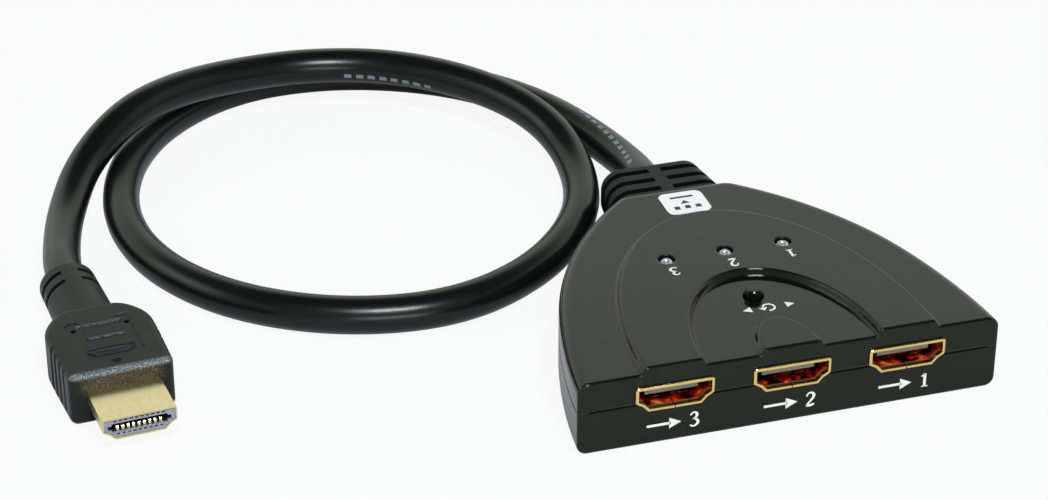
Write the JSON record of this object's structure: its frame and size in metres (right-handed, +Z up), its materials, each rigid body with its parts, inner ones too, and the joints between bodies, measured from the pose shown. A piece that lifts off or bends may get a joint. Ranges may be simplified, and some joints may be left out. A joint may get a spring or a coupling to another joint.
{
  "type": "hdmi switch",
  "caption": "Flat black fan-shaped HDMI switch box with a row of gold-edged sockets, a select button, indicator lamps and a captive cable ending in a plug.",
  "frame": {"origin": "point on the flat base, midway between the case's front and back faces and on its mid-plane", "axes": "+Z up out of the lid, -Y out of the socket face, +Y towards the strain relief, +X to the right seen from the front"},
  "size_m": [0.169, 0.1599, 0.0167],
  "materials": {
    "board_green": "solder mask",
    "bright_steel": "rolled sheet",
    "button_black": "satin",
    "cable_jacket": "semi-gloss PVC",
    "capacitor_tan": "fired",
    "case_plastic": "polished black",
    "chip_black": "moulded",
    "contact_gold": "gold plated",
    "core_insulation": "extruded",
    "gold_plate": "thin gold plating",
    "lamp_clear": "clear epoxy",
    "moulded_rubber": "satin moulding",
    "plug_grey": "moulded",
    "premould_white": "moulded",
    "screw_steel": "zinc plated",
    "socket_black": "moulded",
    "spacer_black": "moulded",
    "switch_black": "moulded",
    "tinned_metal": "tinned"
  },
  "bodies": {
    "switch_box": {"bottom_shell": "case_plastic", "cable": "cable_jacket", "cable_cores": "core_insulation", "capacitors": "capacitor_tan", "case_screws": "screw_steel", "control_chip": "chip_black", "control_chip_leads": "tinned_metal", "indicator_lamp_1": "lamp_clear", "indicator_lamp_2": "lamp_clear", "indicator_lamp_3": "lamp_clear", "lamp_leads": "tinned_metal", "lamp_spacers": "spacer_black", "main_board": "board_green", "plug_contacts": "contact_gold", "plug_cores": "core_insulation", "plug_insulator": "plug_grey", "plug_overmould": "moulded_rubber", "plug_premould": "premould_white", "plug_shell": "gold_plate", "resistors": "chip_black", "select_snap_dome": "bright_steel", "select_switch_body": "switch_black", "select_switch_cover": "bright_steel", "select_switch_terminals": "tinned_metal", "signal_switch_chip": "chip_black", "signal_switch_chip_leads": "tinned_metal", "socket_contacts_1": "contact_gold", "socket_contacts_2": "contact_gold", "socket_contacts_3": "contact_gold", "socket_insulator_1": "socket_black", "socket_insulator_2": "socket_black", "socket_insulator_3": "socket_black", "socket_shell_1": "gold_plate", "socket_shell_2": "gold_plate", "socket_shell_3": "gold_plate", "strain_relief": "moulded_rubber", "top_shell": "case_plastic", "voltage_regulator": "chip_black"},
    "select_button": {"select_button_stem": "button_black"}
  },
  "joints": [
    {"name": "select_press", "type": "slide", "parent": "switch_box", "child": "select_button", "axis": [0, 0, -1], "range_m": [0, 0.00025], "stiffness_N_per_m": 6400, "deforming": ["select_snap_dome"]}
  ]
}
